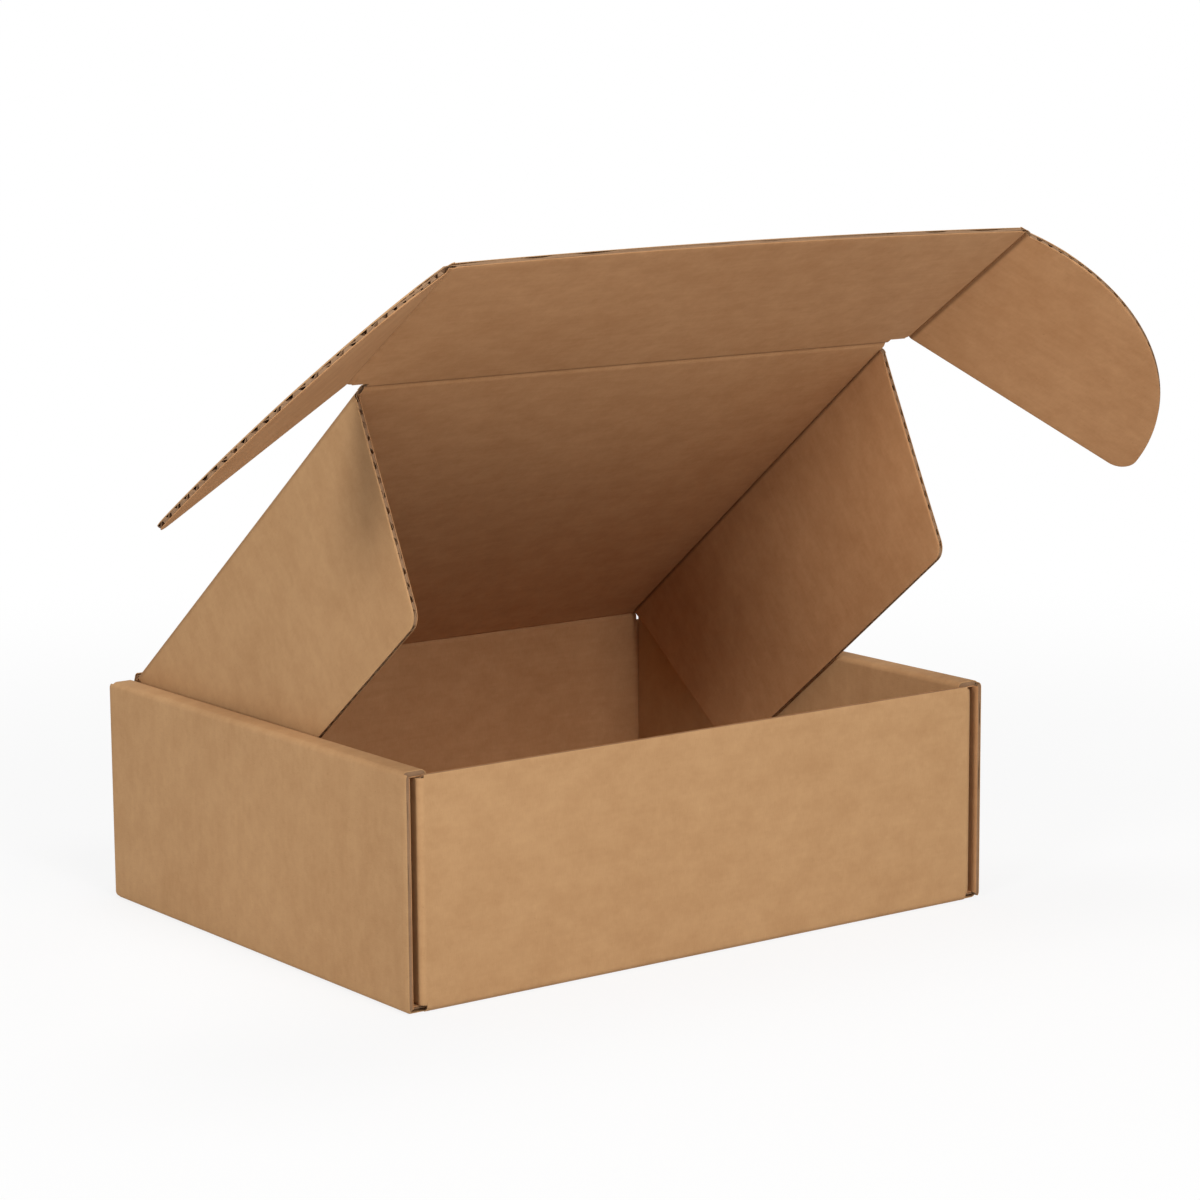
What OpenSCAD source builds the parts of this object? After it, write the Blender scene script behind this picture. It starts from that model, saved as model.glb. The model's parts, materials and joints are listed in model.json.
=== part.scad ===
// Roll-end mailer box folded from one sheet of corrugated board, shown with its lid part open.
// Millimetres, +Z up. The base rests on z = 0, the front wall faces -Y and the lid hinges at the back.

/* [Box] */
// Outer width of the folded tray
box_w = 331; // [260:1:420]
// Outer depth of the folded tray, front wall to back wall
box_d = 260; // [210:1:330]
// Outer height of the rolled side walls
box_h = 107; // [80:1:140]

/* [Board] */
// Thickness of the corrugated board
board_t = 3; // [2:0.1:4]
// Free space between layers of board that lie face to face
layer_gap = 0.3; // [0.3:0.05:0.6]
// Free space at each crease that works as a hinge
crease_gap = 0.3; // [0.3:0.05:0.6]
// Free space between the lid's side flaps and the tray's inner walls
flap_play = 1; // [0.6:0.1:2]

/* [Tray] */
// How far the raw top of the front wall stays below the rolled side walls
front_drop = 2; // [1.6:0.1:6]
// How far the side walls stop short of the front and back faces
side_setback = 0.6; // [0.4:0.1:2]
// Length of the corner flaps hidden in the hollow side walls
corner_len = 103; // [60:1:110]
// Slant of the corner flaps' top and bottom edges
corner_taper = 7; // [0:0.5:12]
// Width of each tab that locks an inner wall into the base
tab_w = 36; // [20:1:50]
// Free space around a tab in its slot
tab_play = 0.5; // [0.3:0.1:1]

/* [Lid and flaps] */
// Free space between a side flap's front edge and the front wall while the lid closes
swing_play = 1; // [0.6:0.1:3]
// How far the free back corner of a side flap is from the hinge
side_flap_back = 30; // [6:1:40]
// Radius of the side flaps' free corners
side_flap_r = 8; // [7:0.5:14]
// Bow of the front flap's free edge
tip_bow = 4; // [1:0.5:5]
// Depth of the relief cut beside the front flap's crease
notch_depth = 4; // [4:0.5:8]
// Free space between the ears and the rolled tops and base when they are in their slots
ear_play = 0.9; // [0.5:0.1:2]
// Distance from the ear's crease to the centre of its arc
ear_offset = 24; // [6:1:30]
// Radius of the arc that bounds an ear
ear_r = 107.6; // [90:0.1:140]
// Radius of the ear's far corner
ear_corner_r = 9; // [3:0.5:12]

/* [Pose] */
// Angle of the lid above the closed position
lid_open = 38; // [30:1:50]
// Fold of the front flap below the plane of the lid
front_fold = 4; // [2:1:12]
// Fold of the right ear from the plane of the front flap
right_ear_fold = 40; // [30:1:60]
// Fold of the left ear from the plane of the front flap
left_ear_fold = 28; // [15:1:60]

/* [Hidden] */
$fn = 64;
kraft = [0.74, 0.58, 0.41];
kraft_inside = [0.70, 0.54, 0.37];

half_t = board_t / 2;
slot_w = board_t + 2 * layer_gap;
side_w = 3 * board_t + slot_w + layer_gap;
front_x = box_w / 2 - board_t - slot_w;
inner_x = box_w / 2 - side_w;
front_h = box_h - front_drop;
roll_y = box_d / 2 - board_t - layer_gap;
side_y = box_d / 2 - side_setback;
corner_bottom = board_t + layer_gap;
corner_top = box_h - board_t - layer_gap;
tab_y = box_d / 4;

hinge_y = box_d / 2 - half_t;
hinge_z = front_h + half_t + crease_gap;
lid_len = hinge_y + box_d / 2 + layer_gap + half_t;
lid_x = inner_x - flap_play;
side_x = lid_x - board_t;
panel_start = half_t + crease_gap;

side_flap_len = hinge_z - half_t - board_t - 2 * layer_gap;
side_flap_root = board_t + crease_gap;
side_flap_end = box_d - half_t - board_t - swing_play;
side_flap_front = sqrt(pow(side_flap_end, 2) - pow(side_flap_len + half_t, 2));

ear_x = box_w / 2 - board_t - layer_gap - half_t;
ear_rear = hinge_z - box_h + board_t + layer_gap + ear_play;
ear_top = hinge_z - board_t - layer_gap - ear_play;
ear_centre = [ear_offset, ear_top - ear_r];
tip_v = hinge_z - layer_gap;
tip_corner = tip_v - tip_bow;
tip_r = (ear_x * ear_x + tip_bow * tip_bow) / (2 * tip_bow);

function flat(p) = [p[0], p[1]];
function toward(p, q) = (flat(q) - flat(p)) / norm(flat(q) - flat(p));
function half_angle(a, p, b) = acos(toward(p, a) * toward(p, b)) / 2;

// Convex sheet outline. Each point is [x, y, radius] and the radius rounds that corner.
module cut_outline(points) {
    n = len(points);
    polygon([for (i = [0 : n - 1])
        let (p = points[i], a = points[(i + n - 1) % n], b = points[(i + 1) % n])
        let (run = p[2] / tan(half_angle(a, p, b)))
        each p[2] > 0 ? [flat(p) + run * toward(p, a), flat(p) + run * toward(p, b)] : [flat(p)]]);
    for (i = [0 : n - 1]) {
        p = points[i];
        a = points[(i + n - 1) % n];
        b = points[(i + 1) % n];
        middle = toward(p, a) + toward(p, b);
        if (p[2] > 0)
            translate(flat(p) + middle / norm(middle) * p[2] / sin(half_angle(a, p, b)))
                circle(r = p[2]);
    }
}

// What a fold takes off the square corner nearest the origin.
module corner_cut() {
    difference() {
        square(board_t);
        translate([board_t, board_t])
            circle(r = board_t);
    }
}

// Section of a wall folded up from the base: x runs inward from the outer face, y runs up.
module wall_section(top) {
    difference() {
        union() {
            square([board_t, top]);
            square([2 * board_t, board_t]);
        }
        corner_cut();
    }
}

// Section of the outer side wall up to the fold at its top.
module outer_section() {
    difference() {
        wall_section(box_h);
        translate([0, box_h])
            mirror([0, 1])
                corner_cut();
    }
}

// Section of a side wall that rolls over a flat top and comes down again inside the tray.
module rolled_section() {
    difference() {
        union() {
            wall_section(box_h);
            translate([0, box_h - board_t])
                square([side_w, board_t]);
            translate([side_w - board_t, corner_bottom])
                square([board_t, box_h - corner_bottom]);
        }
        translate([0, box_h])
            mirror([0, 1])
                corner_cut();
        translate([side_w, box_h])
            rotate(180)
                corner_cut();
    }
}

// Stands a section up along the y axis over a length, with its outer face at x = box_w / 2.
module along_side(length) {
    translate([box_w / 2, length / 2, 0])
        rotate([90, 0, 0])
            linear_extrude(length)
                mirror([1, 0])
                    children();
}

// Runs a section along the x axis over a length, with its outer face at y = -box_d / 2.
module along_front(length) {
    translate([-length / 2, -box_d / 2, 0])
        rotate([90, 0, 90])
            linear_extrude(length)
                children();
}

// A flap folded back from the end of the front or back wall into the hollow of a side wall.
module corner_flap() {
    translate([front_x - board_t, -box_d / 2, corner_bottom])
        rotate([90, 0, 90])
            linear_extrude(board_t)
                cut_outline([
                    [0, 0, 0],
                    [corner_len, corner_taper, side_flap_r],
                    [corner_len, corner_top - corner_bottom - corner_taper, side_flap_r],
                    [0, corner_top - corner_bottom, 0]]);
}

// The front and back walls share their corner flaps and their fold at the base.
module end_wall(top) {
    difference() {
        union() {
            along_front(2 * front_x)
                wall_section(top);
            for (side = [0, 1])
                mirror([side, 0, 0])
                    corner_flap();
        }
        for (side = [0, 1])
            mirror([side, 0, 0])
                translate([front_x, -box_d / 2, 0])
                    linear_extrude(box_h)
                        mirror([1, 0])
                            corner_cut();
    }
}

// Rounded top of the back wall, where the lid's crease runs.
module hinge_bead() {
    translate([-lid_x, hinge_y, 0]) {
        translate([0, -half_t, board_t])
            cube([2 * lid_x, board_t, hinge_z - board_t]);
        translate([0, 0, hinge_z])
            rotate([0, 90, 0])
                cylinder(r = half_t, h = 2 * lid_x);
    }
}

// One side of the tray: outer wall, rolled top, inner wall and its locking tabs.
module side_wall() {
    along_side(2 * roll_y)
        rolled_section();
    along_side(2 * side_y)
        outer_section();
    for (y = [-tab_y, tab_y])
        translate([inner_x, y - tab_w / 2, layer_gap])
            cube([board_t, tab_w, board_t + layer_gap]);
}

// Holes in the base for the tabs of both inner walls.
module tab_slots() {
    for (side = [0, 1])
        mirror([side, 0, 0])
            for (y = [-tab_y, tab_y])
                translate([inner_x - tab_play, y - tab_w / 2 - tab_play, -board_t])
                    cube([board_t + 2 * tab_play, tab_w + 2 * tab_play, 3 * board_t]);
}

module tray() {
    color(kraft_inside) {
        difference() {
            translate([-box_w / 2 + board_t, -box_d / 2 + board_t, 0])
                cube([box_w - 2 * board_t, box_d - 2 * board_t, board_t]);
            tab_slots();
        }
        end_wall(front_h);
        mirror([0, 1, 0])
            end_wall(front_h - board_t);
        hinge_bead();
        for (side = [0, 1])
            mirror([side, 0, 0])
                side_wall();
    }
}

// Frame of the lid: y runs from the hinge to the front crease and z points into the box.
module on_lid() {
    translate([0, hinge_y, hinge_z])
        rotate([180 - lid_open, 0, 0])
            children();
}

// Frame of the front flap: y runs from the lid's front crease to the free edge.
module on_front_flap() {
    on_lid()
        translate([0, lid_len, 0])
            rotate([front_fold, 0, 0])
                children();
}

// A flat sheet of board about its middle plane.
module board() {
    translate([0, 0, -half_t])
        linear_extrude(board_t)
            children();
}

// Half-round edge of a panel along a crease that folds both ways, from the origin along x.
module crease_bead(length) {
    rotate([0, 90, 0])
        cylinder(r = half_t, h = length);
}

// Section of the lid's edge along a side flap: a quarter round about the inner face's corner.
module side_bead() {
    intersection() {
        circle(r = board_t);
        square(board_t);
    }
    translate([-board_t, 0])
        square([board_t, board_t]);
}

module lid_panel() {
    color(kraft_inside)
        on_lid() {
            board()
                translate([-side_x, panel_start])
                    square([2 * side_x, lid_len - panel_start]);
            translate([-side_x, lid_len, 0])
                crease_bead(2 * side_x);
            for (side = [0, 1])
                mirror([side, 0, 0])
                    translate([side_x, side_flap_root, half_t])
                        rotate([-90, 0, 0])
                            linear_extrude(side_flap_end - side_flap_root)
                                side_bead();
        }
}

module front_flap() {
    color(kraft)
        on_front_flap() {
            board() {
                translate([-side_x, panel_start])
                    square([2 * side_x, tip_corner - panel_start]);
                intersection() {
                    translate([0, tip_v - tip_r])
                        circle(r = tip_r, $fn = 720);
                    translate([-ear_x, notch_depth])
                        square([2 * ear_x, tip_v]);
                }
            }
            for (x = [-ear_x, ear_x])
                translate([x, notch_depth, 0])
                    rotate([0, 0, 90])
                        crease_bead(tip_corner - notch_depth);
        }
}

// Side flap in its own frame: x runs from the crease to the free edge and y along the lid.
module side_flap() {
    translate([0, 0, -board_t])
        linear_extrude(board_t)
            cut_outline([
                [crease_gap, side_flap_root, 0],
                [side_flap_len, side_flap_back, side_flap_r],
                [side_flap_len, side_flap_front, side_flap_r],
                [crease_gap, side_flap_end, 0]]);
}

// Side flaps hang square to the lid, each from the lid's inner face.
module right_side_flap() {
    color(kraft)
        on_lid()
            translate([side_x, 0, half_t])
                rotate([0, -90, 0])
                    side_flap();
}

module left_side_flap() {
    color(kraft)
        on_lid()
            mirror([1, 0, 0])
                translate([side_x, 0, half_t])
                    rotate([0, -90, 0])
                        side_flap();
}

// Ear in its own frame: x runs from the crease, y along the front flap. A quarter disc with a round corner.
module ear() {
    inner_r = ear_r - ear_corner_r;
    rise = ear_rear + ear_corner_r - ear_centre[1];
    corner = [ear_centre[0] + sqrt(inner_r * inner_r - rise * rise), ear_rear + ear_corner_r];
    outward = toward(ear_centre, corner);
    board() {
        difference() {
            intersection() {
                translate(ear_centre)
                    circle(r = ear_r, $fn = 180);
                translate([panel_start, ear_rear])
                    square(2 * ear_r);
            }
            polygon([
                corner,
                corner + 3 * ear_corner_r * outward,
                [corner[0] + 3 * ear_corner_r, ear_rear - ear_corner_r],
                [corner[0], ear_rear - ear_corner_r]]);
        }
        translate(corner)
            circle(r = ear_corner_r);
    }
}

module right_ear() {
    color(kraft)
        on_front_flap()
            translate([ear_x, 0, 0])
                rotate([0, -right_ear_fold, 0])
                    ear();
}

module left_ear() {
    color(kraft)
        on_front_flap()
            mirror([1, 0, 0])
                translate([ear_x, 0, 0])
                    rotate([0, -left_ear_fold, 0])
                        ear();
}

tray();
lid_panel();
front_flap();
left_side_flap();
right_side_flap();
left_ear();
right_ear();
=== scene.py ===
import json
import math

import bmesh
import bpy
import numpy as np
from mathutils import Matrix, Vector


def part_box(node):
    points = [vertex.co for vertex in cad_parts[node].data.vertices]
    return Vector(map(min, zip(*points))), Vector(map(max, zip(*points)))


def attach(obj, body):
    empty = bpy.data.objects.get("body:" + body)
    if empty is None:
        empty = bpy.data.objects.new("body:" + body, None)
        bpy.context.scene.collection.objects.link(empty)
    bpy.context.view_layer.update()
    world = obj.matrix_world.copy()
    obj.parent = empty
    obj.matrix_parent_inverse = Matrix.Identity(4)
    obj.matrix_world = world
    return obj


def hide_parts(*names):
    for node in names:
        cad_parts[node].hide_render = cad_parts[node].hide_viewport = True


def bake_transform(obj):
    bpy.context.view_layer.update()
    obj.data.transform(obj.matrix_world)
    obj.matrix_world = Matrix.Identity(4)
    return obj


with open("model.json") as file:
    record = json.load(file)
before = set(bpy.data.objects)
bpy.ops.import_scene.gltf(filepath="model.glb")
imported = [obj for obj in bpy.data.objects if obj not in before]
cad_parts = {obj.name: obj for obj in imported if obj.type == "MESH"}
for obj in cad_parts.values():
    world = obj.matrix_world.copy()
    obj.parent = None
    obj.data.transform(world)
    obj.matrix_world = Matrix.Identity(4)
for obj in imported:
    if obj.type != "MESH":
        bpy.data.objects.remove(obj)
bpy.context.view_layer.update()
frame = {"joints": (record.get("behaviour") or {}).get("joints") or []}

# Kraft mailer box: every panel is two liners with a fluted sheet between them, and every working
# crease is a strip that bends. Lengths are metres; the frame gives the tray, creases and angles.

mm = 0.001
hair = 0.001 * mm                    # the least step between two stops
hands = {"left": -1, "right": 1}
joints = {joint["name"]: joint for joint in frame["joints"]}

board = {
    "thick": 3.0 * mm,
    "liner": 0.42 * mm,              # each outer sheet
    "fluting": 0.30 * mm,            # the wavy sheet between them
    "glued": 0.06 * mm,              # how far its tips sink into the liners
    "pitch": 6.2 * mm,               # flute to flute
    "waveSteps": 12,                 # mesh rows per flute
    "flatStep": 4.0 * mm,            # mesh rows of a liner, and its columns
    "columns": 9,
    "weld": 1e-7,                    # points nearer than this become one
    "crisp": math.radians(38),       # edges that turn more than this stay sharp
    "layerGap": 0.3 * mm,            # air between layers that lie face to face
    "creaseGap": 0.3 * mm,
}
half = board["thick"] / 2
linerBack = half - board["liner"]    # from the middle of the board to a liner's hidden face


# frame places


def jointPlace(name):
    # where a joint's axis stands
    return np.array(joints[name]["pos_m"], float)


def mirrored(place, hand):
    # a place on the right, or its mirror image on the left
    return place * np.array([hand, 1, 1])


def unit(vector):
    # a vector over its own length
    vector = np.asarray(vector, float)
    return vector / np.linalg.norm(vector)


def inFrame(local, x, y, z):
    # origin plus x, y and z steps along the three axes
    x, y, z = np.broadcast_arrays(x, y, z)
    first, second, third = local["axes"]
    return local["origin"] + x[..., None] * first + y[..., None] * second + z[..., None] * third


right = np.array([1.0, 0.0, 0.0])
up = np.array([0.0, 0.0, 1.0])
lidRun = unit(joints["left_side_flap_crease"]["axis"])      # hinge to front crease
lidDown = np.cross(right, lidRun)                           # into the box
flapRun = unit(joints["right_ear_crease"]["axis"])          # front crease to free edge
flapDown = np.cross(right, flapRun)

trayFrame = {"origin": np.zeros(3), "axes": (right, np.array([0.0, 1.0, 0.0]), up)}
lidFrame = {"origin": jointPlace("lid_hinge"), "axes": (right, lidRun, lidDown)}
flapFrame = {"origin": jointPlace("front_flap_crease"), "axes": (right, flapRun, flapDown)}

hingeY, hingeZ = lidFrame["origin"][1:]
boxHalf, deepHalf = (float(side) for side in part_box("tray")[1][:2])
lidLong = float((flapFrame["origin"] - lidFrame["origin"]) @ lidRun)
sideX = jointPlace("right_side_flap_crease")[0]
earX = jointPlace("right_ear_crease")[0]

tray = {
    "frontDrop": 2.0 * mm,      # front wall below the rolled tops
    "setback": 0.6 * mm,        # side walls short of the front face
    "cornerReach": 103.0 * mm,  # hidden corner flaps
    "cornerTaper": 7.0 * mm,
    "tabWide": 36.0 * mm,
    "tabPlay": 0.5 * mm,
    "wallBow": 0.9 * mm,        # outer side walls belly out
    "wallStops": 12,            # mesh columns up an outer wall
    "cornerStops": 9,           # mesh columns along a corner flap
}
boxTall = hingeZ + tray["frontDrop"] - half - board["creaseGap"]
frontTall = boxTall - tray["frontDrop"]
slotWide = board["thick"] + 2 * board["layerGap"]
frontX = boxHalf - board["thick"] - slotWide
innerX = boxHalf - 3 * board["thick"] - slotWide - board["layerGap"]
lidX = sideX + board["thick"]
layerFloor = board["thick"] + board["layerGap"]
rollY = deepHalf - layerFloor
print("frame: box", round(2 * boxHalf, 4), round(2 * deepHalf, 4), round(boxTall, 4))


# sheet building


def evenStops(low, high, step, marks=()):
    # even stops about one step apart, with extra stops at the marks
    count = max(2, int(round((high - low) / step)) + 1)
    inside = [mark for mark in marks if low < mark < high]
    return np.unique(np.concatenate([np.linspace(low, high, count), inside]))


def crowdedStops(start, end, count):
    # stops that crowd towards the start: their steps from it grow as squares
    return list(start + (end - start) * np.linspace(0, 1, count) ** 2)


def justPast(*marks):
    # pairs of stops that make a square step in an outline
    return [mark + shift for mark in marks for shift in (0, hair)]


def both(width):
    # the same reach to either side of the middle
    return -width, width


def steady(low, high):
    # a reach that is the same in every row
    return lambda across: (low, high)


def foldPath(points, radius, steps=8):
    # straight runs joined by tangent arcs of one radius: length, place and left normal at each stop
    points = np.array(points, float)
    places = [points[:1]]
    normals = []
    for before, here, after in zip(points[:-2], points[1:-1], points[2:]):
        come, go = unit(here - before), unit(after - here)
        left = np.array([-come[1], come[0]])
        turn = math.atan2(come[0] * go[1] - come[1] * go[0], come @ go)
        centre = here - come * radius * math.tan(abs(turn) / 2) + math.copysign(radius, turn) * left
        swing = turn * np.linspace(0, 1, steps + 1)[:, None]
        side = np.cos(swing) * left + np.sin(swing) * -come
        places.append(centre - math.copysign(radius, turn) * side)
        normals += [left[None], side] if not normals else [side]
    last = unit(points[-1] - points[-2])
    places = np.concatenate(places + [points[-1:]])
    normals = np.concatenate(normals + [np.array([[-last[1], last[0]]])])
    lengths = np.concatenate([[0], np.cumsum(np.linalg.norm(np.diff(places, axis=0), axis=1))])
    return {"stops": lengths, "place": places, "normal": normals, "long": lengths[-1]}


def alongPath(path, length, lift):
    # the path's point at a length, moved off the path by a lift to the right of its travel
    place = [np.interp(length, path["stops"], path["place"][:, i]) for i in (0, 1)]
    normal = [np.interp(length, path["stops"], path["normal"][:, i]) for i in (0, 1)]
    size = np.hypot(*normal)
    past = np.clip(length - path["long"], 0, None)      # runs straight on past the end
    ahead = path["normal"][-1]
    return (place[0] - lift * normal[0] / size + past * ahead[1],
            place[1] - lift * normal[1] / size - past * ahead[0])


cutEdge = {
    "pinch": 0.26,            # share of the thickness that the cutting die presses out
    "deep": 1.1 * mm,         # how far in from the edge that fades
    "stops": np.array([0.5, 1.2, 2.4]) * mm,
    "shares": np.array([0.03, 0.07, 0.12]),     # the same stops on a row too short for them
    "inset": 0.2 * mm,        # the flattened last flute, behind the liners' edges
    "plug": 0.7 * mm,         # how deep it is
    "plugTall": 0.8,          # and how tall along a rim, as a share of the hollow
    "crack": 0.75 * mm,       # widest hollow left beside it
    "sway": 7.1 * mm,         # how far along the edge it opens and closes
    "nick": 1.7 * mm,         # the same two for an edge cut across the flutes
    "beat": 1.0 * mm,
    "open": 0.35,             # the hollow's usual width, as a share of its widest
    "openSwing": 0.8,
    "drift": 1.7,             # a slow sine moves the quick one, so that no two hollows are alike
    "driftLong": 17.3 * mm,
    "driftStart": 40.0,       # and starts elsewhere on every edge
    "meshStep": 0.35,         # mesh step as a share of the sway
    "fewStops": 12,
}


def gridQuads(rows, columns):
    # a face for each four neighbours in a grid of points
    index = np.arange(rows * columns).reshape(rows, columns)
    around = [index[:-1, :-1], index[1:, :-1], index[1:, 1:], index[:-1, 1:]]
    return np.stack(around, -1).reshape(-1, 4)


def slabQuads(rows, columns):
    # two grids face to face, closed by a band round their rims
    index = np.arange(rows * columns).reshape(rows, columns)
    rim = np.concatenate([index[0], index[1:, -1], index[-1, -2::-1], index[-2:0:-1, 0]])
    nextRim = np.roll(rim, -1)
    size = rows * columns
    band = np.stack([rim, nextRim, nextRim + size, rim + size], -1)
    quads = gridQuads(rows, columns)
    return np.concatenate([quads, quads[:, ::-1] + size, band])


def sheetSlab(place, rows, reach, columns, lowLift, highLift, layer):
    # rows across the flutes, columns along them: each row runs from its low reach to its high reach
    low, high = (np.broadcast_to(limit, rows.shape)[:, None] for limit in reach(rows))
    if np.ndim(columns):
        along = np.clip(columns[None, :], low, high)
    else:
        inset = np.minimum(cutEdge["stops"], (high - low) * cutEdge["shares"])
        even = low + (high - low) * np.linspace(0, 1, columns)
        along = np.sort(np.concatenate([even, low + inset, high - inset], 1), 1)
    across = np.broadcast_to(rows[:, None], along.shape)
    grids = [place(across, along, lift(across, along, low, high)) for lift in (highLift, lowLift)]
    sheet = np.stack([across, along], -1).reshape(-1, 2)
    return {
        "points": np.concatenate([grid.reshape(-1, 3) for grid in grids]),
        "quads": slabQuads(*along.shape),
        "sheet": np.concatenate([sheet, sheet]),
        "layer": layer,
    }


def boardMesh(name, slabs, score=None):
    # slabs joined in one mesh: the flat sheet's measure is its UV map, and an optional mask of painted
    # shade along a crease
    counts = np.cumsum([0] + [len(slab["points"]) for slab in slabs])
    points = np.concatenate([slab["points"] for slab in slabs])
    quads = np.concatenate([slab["quads"] + start for slab, start in zip(slabs, counts)])
    sheet = np.concatenate([slab["sheet"] for slab in slabs])
    layers = np.concatenate([np.full(len(slab["quads"]), slab["layer"]) for slab in slabs])
    mesh = bpy.data.meshes.new(name)
    mesh.vertices.add(len(points))
    mesh.vertices.foreach_set("co", points.ravel())
    mesh.loops.add(quads.size)
    mesh.loops.foreach_set("vertex_index", quads.ravel())
    mesh.polygons.add(len(quads))
    mesh.polygons.foreach_set("loop_start", np.arange(0, quads.size, 4))
    mesh.polygons.foreach_set("material_index", layers)
    mesh.update(calc_edges=True)
    mesh.uv_layers.new(name="sheet").data.foreach_set("uv", sheet[quads.ravel()].ravel())
    if score:
        mesh.attributes.new("score", "FLOAT", "POINT").data.foreach_set("value", score(*sheet.T))
    for material in paperFinish:
        mesh.materials.append(material)
    work = bmesh.new()
    work.from_mesh(mesh)
    bmesh.ops.remove_doubles(work, verts=work.verts, dist=board["weld"])
    bmesh.ops.recalc_face_normals(work, faces=work.faces)
    work.to_mesh(mesh)
    work.free()
    mesh.polygons.foreach_set("use_smooth", np.ones(len(mesh.polygons), bool))
    mesh.set_sharp_from_angle(angle=board["crisp"])
    piece = bpy.data.objects.new(name, mesh)
    bpy.context.scene.collection.objects.link(piece)
    return piece


def fluted(place, ends, reach, marks=(), step=board["flatStep"], columns=board["columns"],
           cutRows=(0, 0), cutColumns=(0, 0), rim=None):
    # outer liner, inner liner and between them a sheet whose height is a sine across the flutes
    skin = board["fluting"] / 2
    swing = linerBack - skin + board["glued"]
    turn = 2 * math.pi / board["pitch"]

    def pressed(across, along, low, high):
        # one, less a dip that fades exponentially from each cut edge: row end, column end or rim
        gaps = [across - ends[0], ends[1] - across, along - low, high - along]
        cuts = (*cutRows, *cutColumns)
        dips = [cut * np.exp(-gap / cutEdge["deep"]) for cut, gap in zip(cuts, gaps)]
        if rim:
            dips.append(np.exp(-np.abs(rim(across, along)) / cutEdge["deep"]))
        return 1 - cutEdge["pinch"] * np.clip(sum(dips), 0, 1)

    def level(height):
        # a flat face, pressed at the cuts
        return lambda *spot: height * pressed(*spot)

    def wave(shift):
        # a sine face, pressed at the cuts
        return lambda *spot: (swing * np.sin(turn * spot[0]) + shift) * pressed(*spot)

    middle = sum(ends) / 2
    cutEnds = [end for end, cut in zip(ends, cutRows) if cut]
    edges = [end - np.sign(end - middle) * stop for end in cutEnds for stop in cutEdge["stops"]]
    flat = evenStops(*ends, step, [*marks, *edges])
    wavy = evenStops(*ends, board["pitch"] / board["waveSteps"], [*marks, *edges])
    slabs = [
        sheetSlab(place, flat, reach, columns, level(linerBack), level(half), 0),
        sheetSlab(place, flat, reach, columns, level(-half), level(-linerBack), 1),
        sheetSlab(place, wavy, reach, columns, wave(-skin), wave(skin), 2),
    ]
    faces = level(-linerBack), level(linerBack)
    slabs += [flatFlute(place, end, np.sign(middle - end), reach, faces, columns) for end in cutEnds]
    return slabs


def hollowFaces(share):
    # floor and roof of the hollow between the liners, as a share of its height
    return [lambda *spot, side=side: side * share * linerBack + 0 * spot[0] for side in (-1, 1)]


def flatFlute(place, end, inward, reach, faces, columns=None,
              sway=cutEdge["sway"], crack=cutEdge["crack"]):
    # the last flute, pressed flat along a cut edge; the width of the hollow beside it is a sine of a sine
    rows = np.sort(end + inward * (cutEdge["inset"] + cutEdge["plug"] * np.array([0, 1])))
    low, high = (float(np.min(limit)) for limit in reach(rows))
    count = max(cutEdge["fewStops"], int((high - low) / (cutEdge["meshStep"] * sway)))
    stops = np.linspace(low, high, count)
    if np.ndim(columns):
        stops = np.unique(np.concatenate([stops, columns]))
    floor, roof = faces

    def plugTop(across, along, low, high):
        # the roof, less the hollow
        drift = np.sin(along / cutEdge["driftLong"] + cutEdge["driftStart"] * end)
        swing = np.sin(along / sway + cutEdge["drift"] * drift)
        wide = crack * np.clip(cutEdge["open"] + cutEdge["openSwing"] * swing, 0, 1)
        return roof(across, along, low, high) - wide

    return sheetSlab(place, rows, reach, stops, floor, plugTop, 2)


def rimFlute(place, low, high, **hollow):
    # the same along a rim, on a sheet that is measured in from it
    return flatFlute(place, 0.0, 1, steady(low, high), hollowFaces(cutEdge["plugTall"]), **hollow)


def nickedFlute(place, low, high):
    # the same along a rim that is cut across the flutes, where the hollow opens once for each flute
    return rimFlute(place, low, high, sway=cutEdge["beat"], crack=cutEdge["nick"])


def joinPiece(piece, body, *nodes):
    # a piece rides on its body, and stands for the nodes that are named
    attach(piece, body)
    if nodes:
        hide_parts(*nodes)


# finishes


def linear(red, green, blue):
    # screen colour 0-255 to the renderer's own scale
    share = np.array([red, green, blue]) / 255
    low = share / 12.92
    high = ((share + 0.055) / 1.055) ** 2.4
    return (*np.where(share <= 0.04045, low, high), 1.0)


def nodeGroup(name, inputs, outputs):
    # an empty shader group with its named sockets
    group = bpy.data.node_groups.new(name, "ShaderNodeTree")
    for label, kind, value in inputs:
        socket = group.interface.new_socket(label, in_out="INPUT", socket_type=kind)
        if value is not None:
            socket.default_value = value
    for label, kind in outputs:
        group.interface.new_socket(label, in_out="OUTPUT", socket_type=kind)
    return group, group.nodes.new("NodeGroupInput"), group.nodes.new("NodeGroupOutput")


def feed(tree, socket, value):
    # a link where the value is another node's output, else a number or colour
    if isinstance(value, bpy.types.NodeSocket):
        tree.links.new(value, socket)
    else:
        socket.default_value = value


def addNode(tree, kind, settings=None, **sockets):
    # one node with its settings and sockets; i0, i1 and so on name a socket by its place
    node = tree.nodes.new(kind)
    for label, value in (settings or {}).items():
        setattr(node, label, value)
    for label, value in sockets.items():
        place = int(label[1:]) if label[1:].isdigit() else label.replace("_", " ")
        feed(tree, node.inputs[place], value)
    return node


def maths(tree, operation, *values):
    # one sum: the operation on its values in turn
    sockets = {f"i{place}": value for place, value in enumerate(values)}
    return addNode(tree, "ShaderNodeMath", {"operation": operation}, **sockets).outputs[0]


def stretched(tree, vector, scale):
    # the sheet's measure times one scale across the flutes and one along them
    return addNode(tree, "ShaderNodeMapping", None, Vector=vector, Scale=(*scale, 1.0)).outputs[0]


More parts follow.
